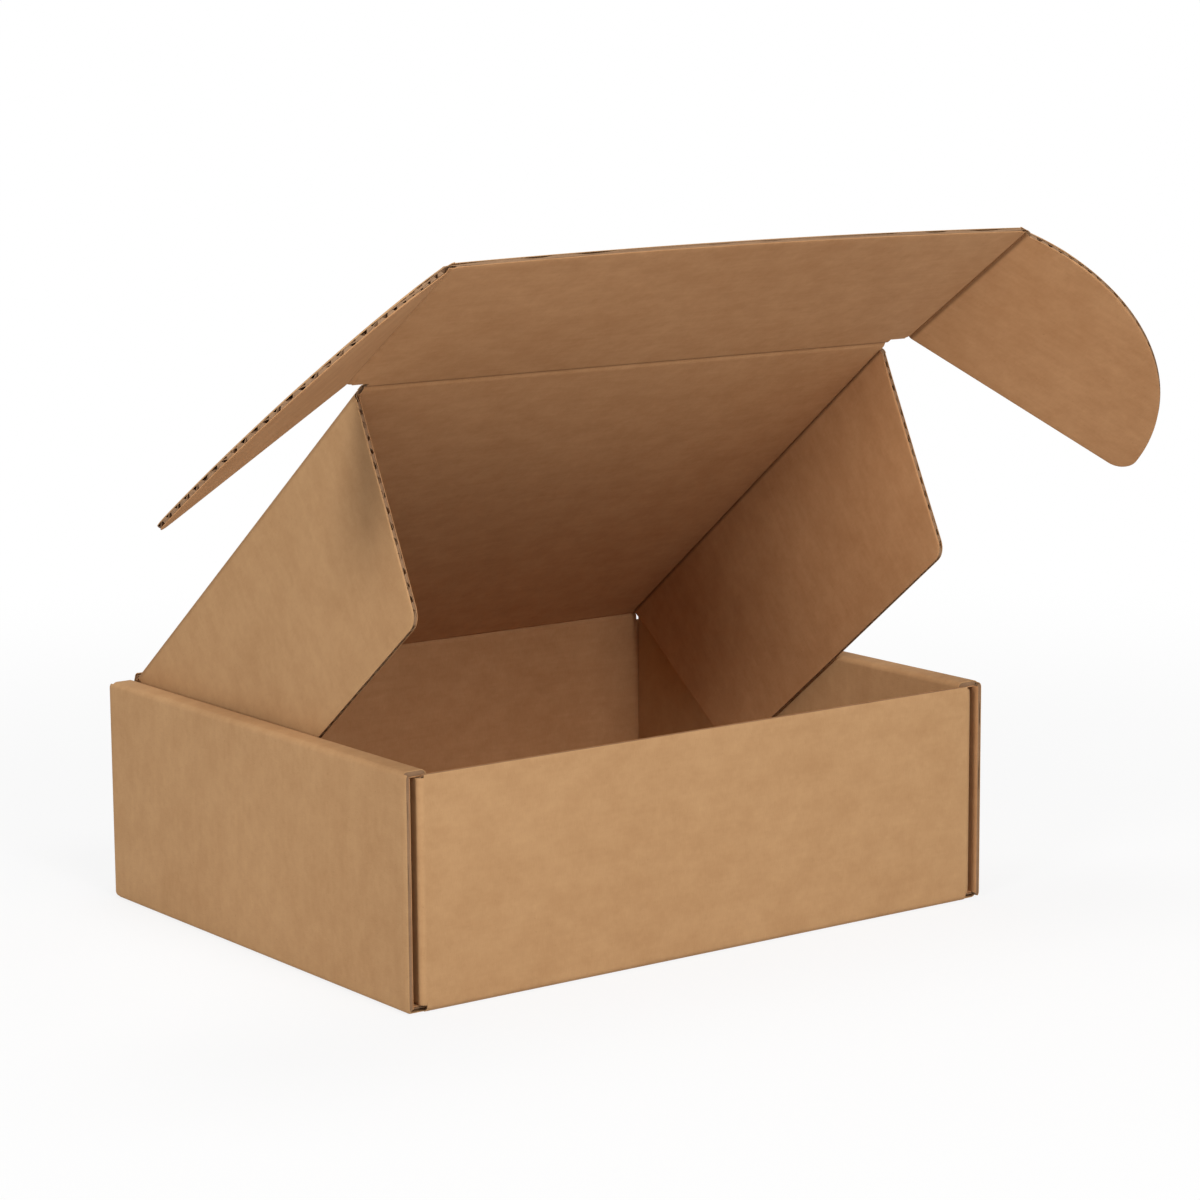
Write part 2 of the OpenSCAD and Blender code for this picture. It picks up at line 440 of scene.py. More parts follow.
def noise(tree, vector, scale, detail, rough=0.55):
    # cloudy noise from 0 to 1, with so many patches per metre
    return addNode(tree, "ShaderNodeTexNoise", None, Vector=vector, Scale=scale, Detail=detail,
                   Roughness=rough).outputs["Fac"]


def ramp(tree, value, low, high):
    # 0 up to the low value, 1 from the high one on, and an s-shaped rise between
    return addNode(tree, "ShaderNodeMapRange", {"interpolation_type": "SMOOTHSTEP"}, Value=value,
                   From_Min=low, From_Max=high).outputs[0]


def blendColour(tree, share, first, second):
    # the first colour plus a share of the way to the second
    node = addNode(tree, "ShaderNodeMix", {"data_type": "RGBA"}, i0=share, i6=first, i7=second)
    return node.outputs[2]


pulp = {
    "cloud": 16.0,                         # soft patches per metre
    "cloudRise": (0.3, 0.7),
    "cloudTone": 0.22,                     # share of each in the tone
    "blotch": (95.0, 60.0),                # smears, across and along the flutes
    "blotchRise": (0.25, 0.75),
    "blotchTone": 0.4,
    "mottle": 260.0,
    "streak": (620.0, 44.0),               # fine lines beside the flutes
    "fibre": (260.0, 2600.0),              # fibres lie across the flutes
    "speckTone": 0.55,                     # mottle and fibres together
    "baseTone": 0.19,
    "fleck": 1300.0,
    "fleckRise": (0.7, 0.8),
    "fleckTint": 0.3,
    "grain": 0.6,                          # strength of the finer noise in blotches and mottle
    "fibreLift": 0.5,                      # fibres in the bump, beside the mottle
    "fibreRough": 0.2,
    "leastRough": 0.74,
}


def pulpGroup():
    # tone: clouds, smears and streaks along the flutes and fibres across them, each times its share;
    # colour: deep to pale by the tone, with flecks over it
    tree, start, end = nodeGroup("paperPulp", [
        ("Place", "NodeSocketVector", None), ("Sheet", "NodeSocketVector", None),
        ("Pale", "NodeSocketColor", None), ("Deep", "NodeSocketColor", None),
        ("Fleck", "NodeSocketColor", None), ("Streaks", "NodeSocketFloat", 0.5),
    ], [("Colour", "NodeSocketColor"), ("Height", "NodeSocketFloat"), ("Rough", "NodeSocketFloat")])
    place, sheet = start.outputs["Place"], start.outputs["Sheet"]
    cloud = ramp(tree, noise(tree, place, pulp["cloud"], 3), *pulp["cloudRise"])
    blotch = noise(tree, stretched(tree, sheet, pulp["blotch"]), 1, 4, pulp["grain"])
    mottle = noise(tree, place, pulp["mottle"], 4, pulp["grain"])
    streak = noise(tree, stretched(tree, sheet, pulp["streak"]), 1, 3)
    fibre = noise(tree, stretched(tree, sheet, pulp["fibre"]), 1, 2)
    smears = maths(tree, "MULTIPLY", ramp(tree, blotch, *pulp["blotchRise"]), pulp["blotchTone"])
    tone = maths(tree, "MULTIPLY_ADD", cloud, pulp["cloudTone"], smears)
    lines = maths(tree, "MULTIPLY", maths(tree, "SUBTRACT", streak, 0.5), start.outputs["Streaks"])
    specks = maths(tree, "ADD", maths(tree, "SUBTRACT", mottle, 0.5),
                   maths(tree, "SUBTRACT", fibre, 0.5))
    tone = maths(tree, "ADD", tone, maths(tree, "MULTIPLY_ADD", specks, pulp["speckTone"], lines))
    tone = maths(tree, "ADD", tone, pulp["baseTone"])
    colour = blendColour(tree, tone, start.outputs["Deep"], start.outputs["Pale"])
    flecks = ramp(tree, noise(tree, place, pulp["fleck"], 1), *pulp["fleckRise"])
    share = maths(tree, "MULTIPLY", flecks, pulp["fleckTint"])
    colour = blendColour(tree, share, colour, start.outputs["Fleck"])
    tree.links.new(colour, end.inputs["Colour"])
    tree.links.new(maths(tree, "MULTIPLY_ADD", fibre, pulp["fibreLift"], mottle), end.inputs["Height"])
    rough = maths(tree, "MULTIPLY_ADD", fibre, pulp["fibreRough"], pulp["leastRough"])
    tree.links.new(rough, end.inputs["Rough"])
    return tree


washboard = {"patch": 18.0, "patchRise": (0.3, 0.75)}      # patches per metre


def washboardGroup():
    # the flutes show through a liner as a faint sine across the sheet, stronger in some patches
    tree, start, end = nodeGroup("washboard", [
        ("Place", "NodeSocketVector", None), ("Sheet", "NodeSocketVector", None),
    ], [("Ridge", "NodeSocketFloat")])
    across = addNode(tree, "ShaderNodeSeparateXYZ", None, Vector=start.outputs["Sheet"]).outputs[0]
    wave = maths(tree, "SINE", maths(tree, "MULTIPLY", across, 2 * math.pi / board["pitch"]))
    patch = noise(tree, start.outputs["Place"], washboard["patch"], 2)
    ridge = maths(tree, "MULTIPLY", wave, ramp(tree, patch, *washboard["patchRise"]))
    tree.links.new(ridge, end.inputs["Ridge"])
    return tree


pulpTree = pulpGroup()
washboardTree = washboardGroup()

papers = {
    "outerLiner": {
        "pale": linear(199, 157, 112), "deep": linear(178, 135, 92), "fleck": linear(112, 76, 44),
        "streaks": 0.22, "ridgeLift": 0.010 * mm, "ridgeTint": 0.03, "pulpLift": 0.02 * mm,
        "scoreTint": 0.35,      # how dark the painted shade along a crease is
    },
    # painted shade: the inner liner is the outer liner's kraft made darker and redder, for the shade on
    # the inside faces
    "innerLiner": {
        "pale": linear(197, 149, 105), "deep": linear(172, 123, 80), "fleck": linear(104, 70, 42),
        "streaks": 0.35, "ridgeLift": 0.012 * mm, "ridgeTint": 0.04, "pulpLift": 0.02 * mm,
        "scoreTint": 0.7,
    },
    "flutingPaper": {
        "pale": linear(164, 129, 97), "deep": linear(134, 103, 76), "fleck": linear(88, 66, 46),
        "streaks": 0.5, "ridgeLift": 0.0, "ridgeTint": 0.0, "pulpLift": 0.03 * mm,
        "scoreTint": 0.0,
    },
}
paperShine = 0.25


def paper(name, pale, deep, fleck, streaks, ridgeLift, ridgeTint, pulpLift, scoreTint):
    # pulp colour, tinted on the flute tips and darkened by painted shade along the creases; the bump is
    # ridges plus pulp
    material = bpy.data.materials.new(name)
    material.use_nodes = True
    tree = material.node_tree
    shader = tree.nodes["Principled BSDF"]
    spot = addNode(tree, "ShaderNodeTexCoord").outputs
    body = addNode(tree, "ShaderNodeGroup", {"node_tree": pulpTree}, Place=spot["Object"],
                   Sheet=spot["UV"], Pale=pale, Deep=deep, Fleck=fleck, Streaks=streaks)
    flutes = addNode(tree, "ShaderNodeGroup", {"node_tree": washboardTree}, Place=spot["Object"],
                     Sheet=spot["UV"])
    tint = maths(tree, "MULTIPLY_ADD", flutes.outputs["Ridge"], ridgeTint, ridgeTint)
    colour = blendColour(tree, tint, body.outputs["Colour"], deep)
    # painted shade: along a crease the colour is pulled towards the dark fleck colour, standing in for
    # the shadow in its groove
    creaseShadeMask = addNode(tree, "ShaderNodeAttribute", {"attribute_name": "score"}).outputs["Fac"]
    colour = blendColour(tree, maths(tree, "MULTIPLY", creaseShadeMask, scoreTint), colour, fleck)
    grain = maths(tree, "MULTIPLY", body.outputs["Height"], pulpLift)
    lift = maths(tree, "MULTIPLY_ADD", flutes.outputs["Ridge"], ridgeLift, grain)
    bump = addNode(tree, "ShaderNodeBump", None, Height=lift, Strength=1.0, Distance=1.0)
    tree.links.new(colour, shader.inputs["Base Color"])
    tree.links.new(body.outputs["Rough"], shader.inputs["Roughness"])
    tree.links.new(bump.outputs[0], shader.inputs["Normal"])
    shader.inputs["Specular IOR Level"].default_value = paperShine
    return material


paperFinish = [paper(name, **settings) for name, settings in papers.items()]    # in layer order
print("finishes ready")


# what a scoring wheel leaves along a fold, and the painted shade in its groove

crease = {
    "run": 3.2 * mm,          # from the fold line to the end of the strip
    "crush": 0.55,            # share of the thickness pressed out by the scoring wheel
    "wide": 1.5 * mm,         # groove towards the first panel
    "steep": 0.9 * mm,        # groove towards the second panel
    "line": 0.95 * mm,        # half width of the painted shade line in it
    "past": 1.25 * mm,        # from the fold line to that line's middle
    "round": 1.6 * mm,
    "meshStep": 0.3 * mm,     # mesh rows over the bend
}


# tray: front wall, base and back wall are one long strip

tabY = deepHalf / 2
tabEdges = [side * tabY + shift * (tray["tabWide"] / 2) for side in (-1, 1) for shift in (-1, 1)]
slotEdges = [edge + tray["tabPlay"] * shift for edge, shift in zip(tabEdges, (-1, 1, -1, 1))]
slotInner, slotOuter = innerX - tray["tabPlay"], innerX + board["thick"] + tray["tabPlay"]
wallMid = deepHalf - half
backTall = hingeZ - crease["run"]       # back wall up to the hinge crease

endPath = foldPath([(-wallMid, frontTall), (-wallMid, half), (wallMid, half), (wallMid, backTall)],
                   half)
baseStart = frontTall - board["thick"] + half * math.pi / 4         # middle of the front fold
baseShift = endPath["long"] / 2 - (backTall - frontTall) / 2        # path length at y = 0
backShoulder = endPath["long"] - (backTall - (frontTall - board["thick"]))


def endWallPlace(across, along, lift):
    # the section of front wall, base and back wall, carried from side to side
    y, z = alongPath(endPath, across, lift)
    return inFrame(trayFrame, along, y, z)


def endWallReach(across):
    # half widths in steps: base, base at the slots, walls, and the back wall's top
    onBase = np.abs(across - baseShift) < baseShift - baseStart
    fromTab = np.abs(np.abs(across - baseShift) - tabY)
    inSlot = (fromTab < tray["tabWide"] / 2 + tray["tabPlay"]) & onBase
    wide = np.where(onBase, np.where(inSlot, slotInner, slotOuter), frontX - board["thick"])
    return both(np.where(across > backShoulder, lidX, wide))


endMarks = list(endPath["stops"]) + justPast(baseStart, 2 * baseShift - baseStart, backShoulder)
endMarks += justPast(*[edge + baseShift for edge in slotEdges])
endSlabs = fluted(endWallPlace, (0, endPath["long"]), endWallReach, endMarks, cutRows=(1, 0))
joinPiece(boardMesh("endWalls", endSlabs), "tray", "tray")


# tray: a side is one strip up the outer wall, over the flat top and down inside

sideY = deepHalf - tray["setback"]
sideMid, innerMid, topMid = boxHalf - half, innerX + half, boxTall - half
rollPath = foldPath([(slotOuter, half), (sideMid, half), (sideMid, topMid), (innerMid, topMid),
                     (innerMid, layerFloor)], half)
wallFoot = sideMid - half - slotOuter + half * math.pi / 4
wallHead = wallFoot + boxTall - 2 * board["thick"] + half * math.pi / 2
wallColumns = np.linspace(wallFoot, wallHead, tray["wallStops"])
tabEnd = rollPath["long"] + board["thick"]
rollColumns = np.unique([*rollPath["stops"], *wallColumns, tabEnd])


def sideWallMaker(hand):
    # the roll's section carried along the side, with a belly in the outer wall that fades at its edges
    def place(across, along, lift):
        # belly: half a sine up the wall times a cosine along it
        x, z = alongPath(rollPath, along, lift)
        rise = np.clip((along - wallFoot) / (wallHead - wallFoot), 0, 1)
        belly = tray["wallBow"] * np.sin(math.pi * rise) * np.cos(math.pi / 2 * across / sideY)
        return inFrame(trayFrame, hand * (x + belly), across, z)
    return place


def rolledReach(across):
    # the whole roll, and one board further at the tabs
    tabbed = np.abs(np.abs(across) - tabY) < tray["tabWide"] / 2
    return 0.0, rollPath["long"] + np.where(tabbed, board["thick"], 0.0)


def rollEnd(place, end):
    # the flattened last flute across the roll's top and down the inner wall
    return flatFlute(place, end * rollY, -end, steady(wallHead, rollPath["long"]), hollowFaces(1),
                     rollColumns)


for label, hand in hands.items():
    wallPlace = sideWallMaker(hand)
    wallSlabs = fluted(wallPlace, both(rollY), rolledReach, justPast(*tabEdges), columns=rollColumns)
    for end in (-1, 1):     # only the outer wall reaches the corners
        ends = sorted((end * (rollY + hair), end * sideY))
        wallSlabs += fluted(wallPlace, ends, steady(wallFoot, wallHead), columns=rollColumns,
                            cutRows=(end < 0, end > 0))
        wallSlabs.append(rollEnd(wallPlace, end))
    joinPiece(boardMesh(label + "Wall", wallSlabs), "tray")


# tray: corner flaps turn from the ends of the front and back walls into the hollow sides

flapMid = frontX - half
cornerTop = boxTall - layerFloor
cornerPath = foldPath([(frontX - board["thick"], -wallMid), (flapMid, -wallMid),
                       (flapMid, tray["cornerReach"] - deepHalf)], half)
cornerColumns = np.unique([*cornerPath["stops"],
                           *np.linspace(0, cornerPath["long"], tray["cornerStops"])])
cornerMarks = [layerFloor + tray["cornerTaper"], cornerTop - tray["cornerTaper"]]


def cornerMaker(hand, front):
    # the turned section carried upwards, and mirrored for each corner
    def place(across, along, lift):
        x, y = alongPath(cornerPath, along, lift)
        return inFrame(trayFrame, hand * x, front * y, across)
    return place


def cornerReach(across):
    # length limited by two slanted edges
    slope = tray["cornerReach"] / tray["cornerTaper"]
    room = np.minimum(across - layerFloor, cornerTop - across) * slope
    return 0.0, np.clip(room + board["thick"], 0, cornerPath["long"])


corners = {"frontLeft": (-1, 1), "frontRight": (1, 1), "backLeft": (-1, -1), "backRight": (1, -1)}
for label, corner in corners.items():
    cornerSlabs = fluted(cornerMaker(*corner), (layerFloor, cornerTop), cornerReach, cornerMarks,
                         columns=cornerColumns, cutRows=(1, 1))
    joinPiece(boardMesh(label + "CornerFlap", cornerSlabs), "tray")
print("tray built")


# lid, with side flaps that hang square from its inner face

lid = {
    "bow": 0.8 * mm,
    "swingPlay": 1.0 * mm,      # side flaps clear of the front wall
    "flapBack": 30.0 * mm,      # free back corner, from the hinge
    "cornerRound": 8.0 * mm,
    "flapBow": 1.2 * mm,
    "edgeRun": 1.5 * mm,        # lid edge that turns with a side flap
    "thinnest": 0.05 * mm,      # least length of a row
    "nickFrom": 1.0 * mm,       # the nicked front edge, short of the crease
    "nickTo": 0.8 * mm,         # and of the free edge
    "meshStep": 3.0 * mm,
    "columns": 13,
}
flapRoot = layerFloor
flapLong = hingeZ - half - board["thick"] - 2 * board["layerGap"]
flapEnd = 2 * deepHalf - half - board["thick"] - lid["swingPlay"]
flapFront = math.sqrt(flapEnd ** 2 - (flapLong + half) ** 2)


def lidPlace(across, along, lift):
    # flat, with a bow: a parabola from side to side times half a sine from hinge to front crease
    bow = lid["bow"] * (1 - (along / sideX) ** 2) * np.sin(math.pi * across / lidLong)
    return inFrame(lidFrame, along, across, -lift - bow)


def lidReach(across):
    # half width, less the strip that turns with a side flap
    beside = (across > flapRoot) & (across <= flapEnd)
    return both(np.where(beside, sideX - lid["edgeRun"], sideX))


lidSlabs = fluted(lidPlace, (crease["run"], lidLong - crease["run"]), lidReach,
                  justPast(flapRoot, flapEnd))
joinPiece(boardMesh("lidPanel", lidSlabs), "lid_panel", "lid_panel")

sideOutline = foldPath([(flapRoot, board["creaseGap"]), (lid["flapBack"], flapLong),
                        (flapFront, flapLong), (flapEnd, board["creaseGap"])],
                       lid["cornerRound"])["place"]
frontCut = sideOutline[sideOutline[:, 0] > flapEnd / 2][::-1]


def sideFlapMaker(hand):
    # flat, square to the lid, with a bow of half a sine each way
    origin = mirrored(jointPlace("right_side_flap_crease"), hand)
    local = {"origin": origin, "axes": (lidDown, lidRun, hand * right)}

    def place(across, along, lift):
        rise = np.sin(math.pi * np.clip(along / flapLong, 0, 1))
        bow = lid["flapBow"] * rise * np.sin(math.pi * across / flapEnd)
        return inFrame(local, along, across, half + lift - bow)
    return place


def sideFlapReach(across):
    # from the crease's strip to the rounded outline
    free = np.interp(across, *sideOutline.T)
    return lid["edgeRun"], np.maximum(free, lid["edgeRun"] + lid["thinnest"])


def frontCutMaker(place):
    # the same sheet, measured back from its slanted front edge
    def cutPlace(across, along, lift):
        return place(np.interp(along, frontCut[:, 1], frontCut[:, 0]) - across, along, lift)
    return cutPlace


for label, hand in hands.items():
    sidePlace = sideFlapMaker(hand)
    sideSlabs = fluted(sidePlace, (flapRoot, flapEnd), sideFlapReach, sideOutline[:, 0],
                       step=lid["meshStep"], columns=lid["columns"], cutColumns=(0, 1))
    sideSlabs.append(nickedFlute(frontCutMaker(sidePlace), lid["edgeRun"] + lid["nickFrom"],
                                 flapLong - lid["nickTo"]))
    joinPiece(boardMesh(label + "SideFlap", sideSlabs), label + "_side_flap", label + "_side_flap")
print("lid built")


# front flap with a bowed free edge, and two rounded ears

flap = {
    "tipGap": 0.3 * mm,
    "tipBow": 4.0 * mm,
    "tipEnd": 0.2 * mm,         # its flattened flute, short of the ear creases
    "earPlay": 0.9 * mm,
    "earOffset": 24.0 * mm,     # crease to the centre of the ear's arc
    "earDrop": 5.0 * mm,        # that centre behind the front crease
    "earCorner": 9.0 * mm,
    "rightFold": math.radians(40),
    "leftFold": math.radians(28),
    "thinnest": 0.1 * mm,       # least half width of a flap row, and least length of an ear row
    "thinnestEar": 0.05 * mm,
    "tipRows": 36,              # extra mesh rows at the free edge, the ear's top and its corner
    "tipRowsTo": 1.69,          # as shares of the bow and of the ear's height
    "topRows": 26,
    "topRowsTo": 0.25,
    "cornerRows": 9,
    "columns": 17,
    "earStep": 2.0 * mm,
    "earColumns": 13,
}
tipLong = hingeZ - flap["tipGap"]
tipRound = (earX ** 2 + flap["tipBow"] ** 2) / (2 * flap["tipBow"])
tipX = earX - crease["run"]
earRear = hingeZ - boxTall + layerFloor + flap["earPlay"]
earArc = hingeZ - layerFloor - flap["earPlay"] + flap["earDrop"]


def frontFlapPlace(across, along, lift):
    # flat, from the front crease to the free edge
    return inFrame(flapFrame, along, across, -lift)


def frontFlapReach(across):
    # half width: wide beside the front crease, then up to the ear creases, inside the free edge's arc
    tip = np.sqrt(np.clip(tipRound ** 2 - (across - tipLong + tipRound) ** 2, 0, None))
    wide = np.where(across > earRear, tipX, sideX)
    return both(np.maximum(np.minimum(wide, tip), flap["thinnest"]))


def tipEdge(along):
    # the free edge is an arc
    return tipLong - tipRound + np.sqrt(tipRound ** 2 - along ** 2)


def tipPlace(across, along, lift):
    # the same sheet, measured in from its free edge
    return frontFlapPlace(tipEdge(along) - across, along, lift)


tipMarks = crowdedStops(tipLong, tipLong - flap["tipBow"] * flap["tipRowsTo"], flap["tipRows"])
frontSlabs = fluted(frontFlapPlace, (crease["run"], tipLong), frontFlapReach,
                    justPast(earRear) + tipMarks, columns=flap["columns"],
                    rim=lambda across, along: tipEdge(along) - across)
frontSlabs.append(rimFlute(tipPlace, *both(tipX - flap["tipEnd"])))
joinPiece(boardMesh("frontFlap", frontSlabs), "front_flap", "front_flap")

cornerRise = earRear + flap["earCorner"] + flap["earDrop"]
cornerX = flap["earOffset"] + math.sqrt((earArc - flap["earCorner"]) ** 2 - cornerRise ** 2)
cornerY = earRear + flap["earCorner"]
cornerEnd = cornerY + flap["earCorner"] * cornerRise / (earArc - flap["earCorner"])
earTop = earArc - flap["earDrop"]


def earReach(across):
    # from the crease's strip or the arc's near side to its far side, with a round lower corner
    chord = np.sqrt(np.clip(earArc ** 2 - (across + flap["earDrop"]) ** 2, 0, None))
    turned = cornerX + np.sqrt(np.clip(flap["earCorner"] ** 2 - (across - cornerY) ** 2, 0, None))
    far = np.where(across < cornerEnd, turned, flap["earOffset"] + chord)
    near = np.maximum(crease["run"], flap["earOffset"] - chord)
    return near, np.maximum(far, near + flap["thinnestEar"])


def earMaker(hand, fold):
    # flat, turned about the ear's crease by its fold
    origin = mirrored(jointPlace("right_ear_crease"), hand)
    run = hand * math.cos(fold) * right + math.sin(fold) * flapDown
    down = -hand * math.sin(fold) * right + math.cos(fold) * flapDown
    local = {"origin": origin, "axes": (run, flapRun, down)}
    return lambda across, along, lift: inFrame(local, along, across, -lift)


def earRimMaker(place):
    # the same sheet, measured in from its arc
    def rimPlace(across, along, lift):
        turn, left = along / earArc, earArc - across
        rise, reach = left * np.cos(turn) - flap["earDrop"], left * np.sin(turn) + flap["earOffset"]
        return place(rise, reach, lift)
    return rimPlace


earMarks = crowdedStops(earTop, earTop - (earTop - earRear) * flap["topRowsTo"], flap["topRows"])
earMarks += crowdedStops(earRear, cornerEnd, flap["cornerRows"])
earTurn = (math.asin((crease["run"] - flap["earOffset"]) / earArc),
           math.atan2(cornerX - flap["earOffset"], cornerRise))
for label, hand in hands.items():
    earPlace = earMaker(hand, flap[label + "Fold"])
    earSlabs = fluted(earPlace, (earRear, earTop), earReach, earMarks, step=flap["earStep"],
                      columns=flap["earColumns"], cutRows=(1, 0), cutColumns=(0, 1))
    earSlabs.append(nickedFlute(earRimMaker(earPlace), *(earArc * turn for turn in earTurn)))
    joinPiece(boardMesh(label + "Ear", earSlabs), label + "_ear", label + "_ear")
print("front flap and ears built")


# creases: crushed strips between panels


def crushed(length, centre):
    # share of the thickness: one, less a bell-shaped dip about the crease, steeper past it than before
    spread = np.where(length > centre, crease["steep"], crease["wide"])
    return 1 - crease["crush"] * np.exp(-((length - centre) / spread) ** 2)


def creaseShadeLine(length, centre):
    # a bell-shaped mask of painted shade, a little past the middle of the crease
    return np.exp(-((length - centre - crease["past"]) / crease["line"]) ** 2)


def bendPath(start, turn):
    # a run up to the fold line and a run turned away from it, joined by an arc
    return foldPath([(start - crease["run"], 0), (start, 0),
                     (start + crease["run"] * math.cos(turn), crease["run"] * math.sin(turn))],
                    crease["round"])


def creaseStrip(name, slabs, hold, score=None):
    # a strip of board from one end of its path to the other, baked where it stands
    strip = boardMesh(name, slabs, score)
    tuple(hold[0])
    tuple(hold[1])
    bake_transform(strip)


def straightCrease(name, local, path, wide, score=None):
    # flutes run beside the crease, so the path goes across them
    def place(across, along, lift):
        second, third = alongPath(path, across, lift * crushed(across, path["long"] / 2))
        return inFrame(local, along, second, third)

    hold = inFrame(local, 0.0, *path["place"][[0, -1]].T)
    slabs = fluted(place, (0, path["long"]), steady(*both(wide)), path["stops"],
                   step=crease["meshStep"], columns=2)
    creaseStrip(name, slabs, hold, score)


def crossCrease(name, local, hand, path, ends, reach, bodies, **shape):
    # flutes run through the crease, so the path goes along them
    def place(across, along, lift):
        first, third = alongPath(path, along, lift * crushed(along, path["long"] / 2))
        return inFrame(local, hand * first, across, third)

    first, third = path["place"][[0, -1]].T
    hold = inFrame(local, hand * first, sum(ends) / 2, third)
    columns = evenStops(0, path["long"], crease["meshStep"], path["stops"])
    slabs = fluted(place, ends, reach, columns=columns, **shape)
    # the strip gets a mask of painted shade about the crease's middle
    creaseStrip(name, slabs, hold, lambda across, along: creaseShadeLine(along, path["long"] / 2))


hingePath = foldPath([(hingeY, backTall), (hingeY, hingeZ),
                      (hingeY + crease["run"] * lidRun[1], hingeZ + crease["run"] * lidRun[2])],
                     crease["round"])
straightCrease("hingeCrease", trayFrame, hingePath, lidX)

frontPath = bendPath(lidLong, math.acos(float(lidRun @ flapRun)))
# the front crease gets a mask of painted shade about its middle
straightCrease("frontCrease", lidFrame, frontPath, sideX,
               lambda across, along: creaseShadeLine(across, frontPath["long"] / 2))

sidePath = foldPath([(sideX - lid["edgeRun"], 0), (sideX + half, 0),
                     (sideX + half, half + lid["edgeRun"])], half)
for label, hand in hands.items():
    crossCrease(label + "SideCrease", lidFrame, hand, sidePath, (flapRoot, flapEnd),
                steady(0.0, sidePath["long"]), ("lid_panel", label + "_side_flap"))

shoulder = {
    "rows": 5,                # mesh rows where an ear's crease runs out
    "least": 0.02,            # share of its width that is left there
}
earShoulder = math.sqrt(earArc ** 2 - (flap["earOffset"] - crease["run"]) ** 2) - flap["earDrop"]
tipShoulder = float(tipEdge(tipX))
shoulderMarks = np.linspace(earShoulder, tipShoulder, shoulder["rows"])


def earCreaseMaker(path):
    # full width, then narrowing in a straight line from the ear's shoulder to the flap's
    def reach(across):
        left = (tipShoulder - across) / (tipShoulder - earShoulder)
        return 0.0, path["long"] * np.clip(left, shoulder["least"], 1)
    return reach


for label, hand in hands.items():
    earPath = bendPath(earX, flap[label + "Fold"])
    crossCrease(label + "EarCrease", flapFrame, hand, earPath, (earRear, tipShoulder),
                earCreaseMaker(earPath), ("front_flap", label + "_ear"), marks=shoulderMarks,
                cutRows=(1, 0))
print("creases built")


# floor, light and camera

stage = {
    "half": 40.0,
    "seenTone": 0.95,         # floor colour where it is seen, and where it only throws light back
    "bounceTone": 0.7,
    "whiteShare": 0.82,       # plain white in it near the box
    "fadeFrom": 0.3,          # from here it turns all white
    "fadeTo": 1.0,
    "rough": 0.9,
    "shine": 0.1,
}


def seenRay(tree):
    # one where the camera, a mirror or glass looks at the surface, else nothing
    ray = addNode(tree, "ShaderNodeLightPath").outputs
    through = maths(tree, "MAXIMUM", ray["Is Glossy Ray"], ray["Is Transmission Ray"])
    return maths(tree, "MAXIMUM", ray["Is Camera Ray"], through)


def grey(tone):
    # one tone in all three colours
    return tone, tone, tone, 1.0


def paleFloor():
    # paper white that takes the shadow, partly glowing where it is seen, and duller as a reflector
    far = stage["half"]
    outline = [(-far, -far, 0), (far, -far, 0), (far, far, 0), (-far, far, 0)]
    floorMesh = bpy.data.meshes.new("paleFloor")
    floorMesh.from_pydata(outline, [], [(0, 1, 2, 3)])
    material = bpy.data.materials.new("paleFloor")
    material.use_nodes = True
    tree = material.node_tree
    shader = tree.nodes["Principled BSDF"]
    seen = seenRay(tree)
    tone = blendColour(tree, seen, grey(stage["bounceTone"]), grey(stage["seenTone"]))
    tree.links.new(tone, shader.inputs["Base Color"])
    shader.inputs["Roughness"].default_value = stage["rough"]
    shader.inputs["Specular IOR Level"].default_value = stage["shine"]
    glow = addNode(tree, "ShaderNodeEmission", None, Color=grey(1.0), Strength=1.0)
    spot = addNode(tree, "ShaderNodeTexCoord").outputs["Object"]
    away = addNode(tree, "ShaderNodeVectorMath", {"operation": "LENGTH"}, i0=spot).outputs["Value"]
    fade = ramp(tree, away, stage["fadeFrom"], stage["fadeTo"])
    white = maths(tree, "MULTIPLY_ADD", fade, 1 - stage["whiteShare"], stage["whiteShare"])
    mix = addNode(tree, "ShaderNodeMixShader", None, Fac=maths(tree, "MULTIPLY", seen, white))
    tree.links.new(shader.outputs[0], mix.inputs[1])
    tree.links.new(glow.outputs[0], mix.inputs[2])
    tree.links.new(mix.outputs[0], tree.nodes["Material Output"].inputs["Surface"])
    floorMesh.materials.append(material)
    floor = bpy.data.objects.new("paleFloor", floorMesh)
    bpy.context.scene.collection.objects.link(floor)


paleFloor()

light = {
    "sky": 0.24,
    "aim": (0.0, 0.0, 0.12),
    "lamps": {
        "high": {"place": (-0.4, -2.0, 2.2), "size": 0.8, "power": 20.0},
        "leftFront": {"place": (-2.84, -1.2, 1.0), "size": 0.9, "power": 38.0},
        "front": {"place": (0.0, -3.0, 1.4), "size": 1.0, "power": 27.0},
        "top": {"place": (0.1, 0.1, 2.8), "size": 1.2, "power": 22.0},
    },
}


def standing(place, side, rise, back):
    # the turned and moved place of a lamp or camera, from its three axes
    turned = np.eye(4)
    turned[:3] = np.stack([side, rise, back, place], 1)
    return Matrix(turned.tolist())


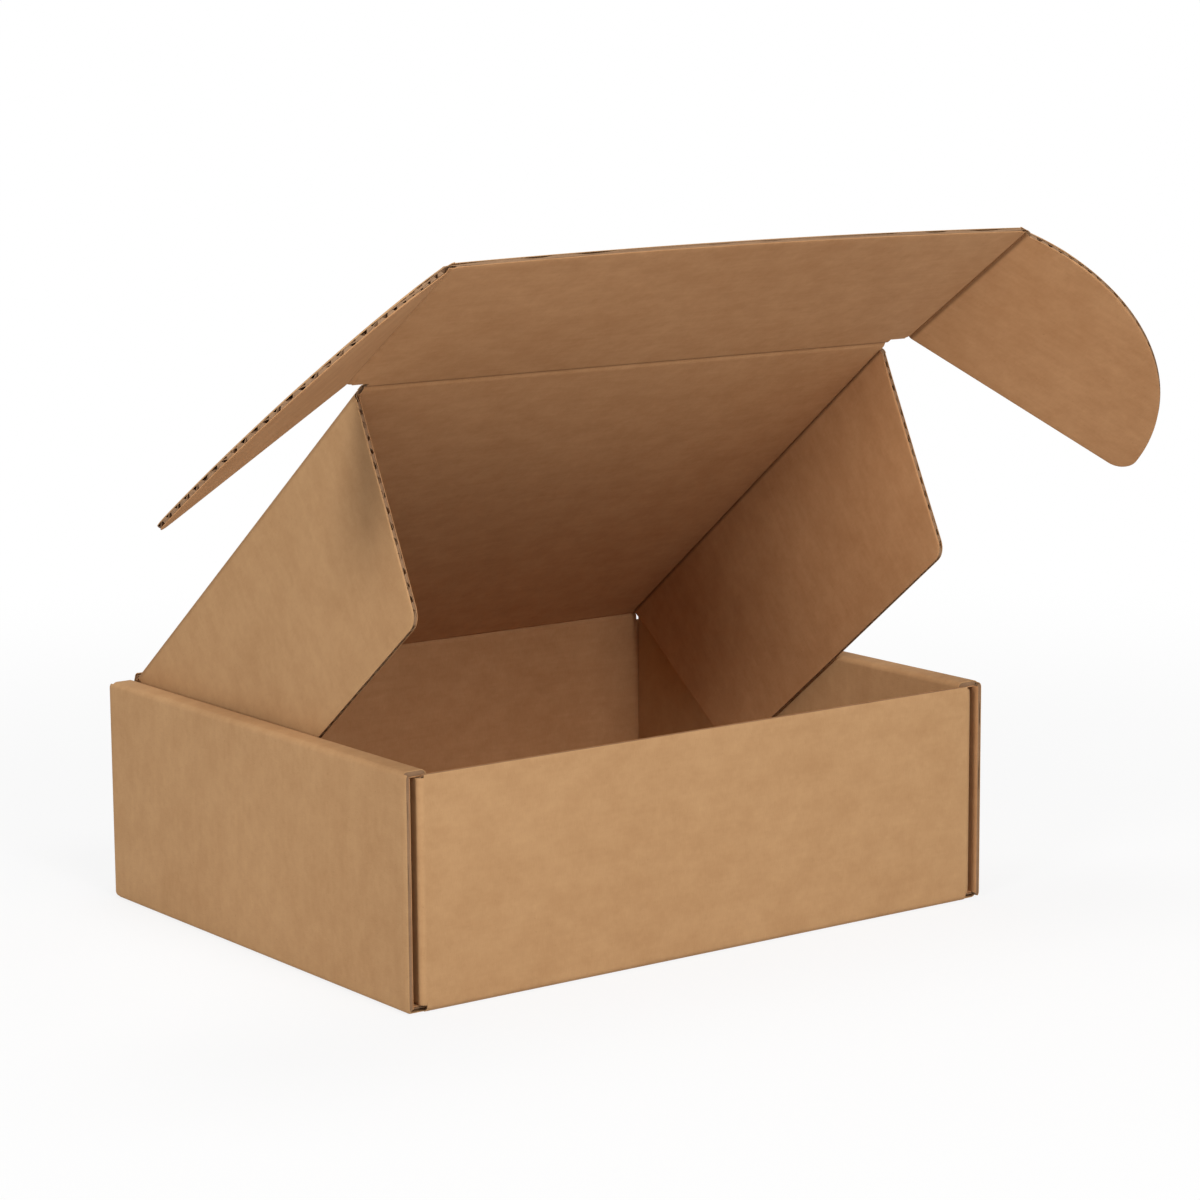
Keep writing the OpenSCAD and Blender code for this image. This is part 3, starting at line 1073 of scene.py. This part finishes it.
def softLamp(name, place, size, power):
    # a square lamp that faces the middle of the box
    lamp = bpy.data.lights.new(name, "AREA")
    lamp.size = size
    lamp.energy = power
    holder = bpy.data.objects.new(name, lamp)
    aim = unit(np.array(light["aim"]) - np.array(place))
    side = unit(np.cross(aim, up))
    holder.matrix_world = standing(place, side, np.cross(side, aim), -aim)
    bpy.context.scene.collection.objects.link(holder)


for name, lampSettings in light["lamps"].items():
    softLamp(name + "Lamp", **lampSettings)


def paleRoom():
    # white where it is seen, and as strong as the sky setting where it only lights
    world = bpy.data.worlds.new("paleRoom")
    bpy.context.scene.world = world
    world.use_nodes = True
    tree = world.node_tree
    sky = tree.nodes["Background"]
    sky.inputs["Color"].default_value = grey(1.0)
    strength = maths(tree, "MULTIPLY_ADD", seenRay(tree), 1 - light["sky"], light["sky"])
    tree.links.new(strength, sky.inputs["Strength"])


paleRoom()

view = {
    "aim": (0.0365, 0.0036, 0.1421),
    "far": 1.746,
    "turn": math.radians(36.413),    # heading, to the right of straight in
    "tilt": math.radians(9.805),     # looking down
    "roll": math.radians(-0.389),
    "lens": 107.8,
    "sensor": 36.0,
    "clip": 50.0,
}


def placeCamera():
    # looks along a level heading, tipped down, then rolled about the line of sight
    ahead = np.array([math.sin(view["turn"]) * math.cos(view["tilt"]),
                      math.cos(view["turn"]) * math.cos(view["tilt"]), -math.sin(view["tilt"])])
    side = unit(np.cross(ahead, up))
    rise = np.cross(side, ahead)
    rolledSide = math.cos(view["roll"]) * side + math.sin(view["roll"]) * rise
    rolledRise = math.cos(view["roll"]) * rise - math.sin(view["roll"]) * side
    place = np.array(view["aim"]) - view["far"] * ahead
    data = bpy.data.cameras.new("photoView")
    data.lens = view["lens"]
    data.sensor_width = view["sensor"]
    data.clip_end = view["clip"]
    camera = bpy.data.objects.new("photoView", data)
    camera.matrix_world = standing(place, rolledSide, rolledRise, -ahead)
    bpy.context.scene.collection.objects.link(camera)
    bpy.context.scene.camera = camera


placeCamera()
bpy.context.scene.view_settings.view_transform = "Standard"
print("stage ready")
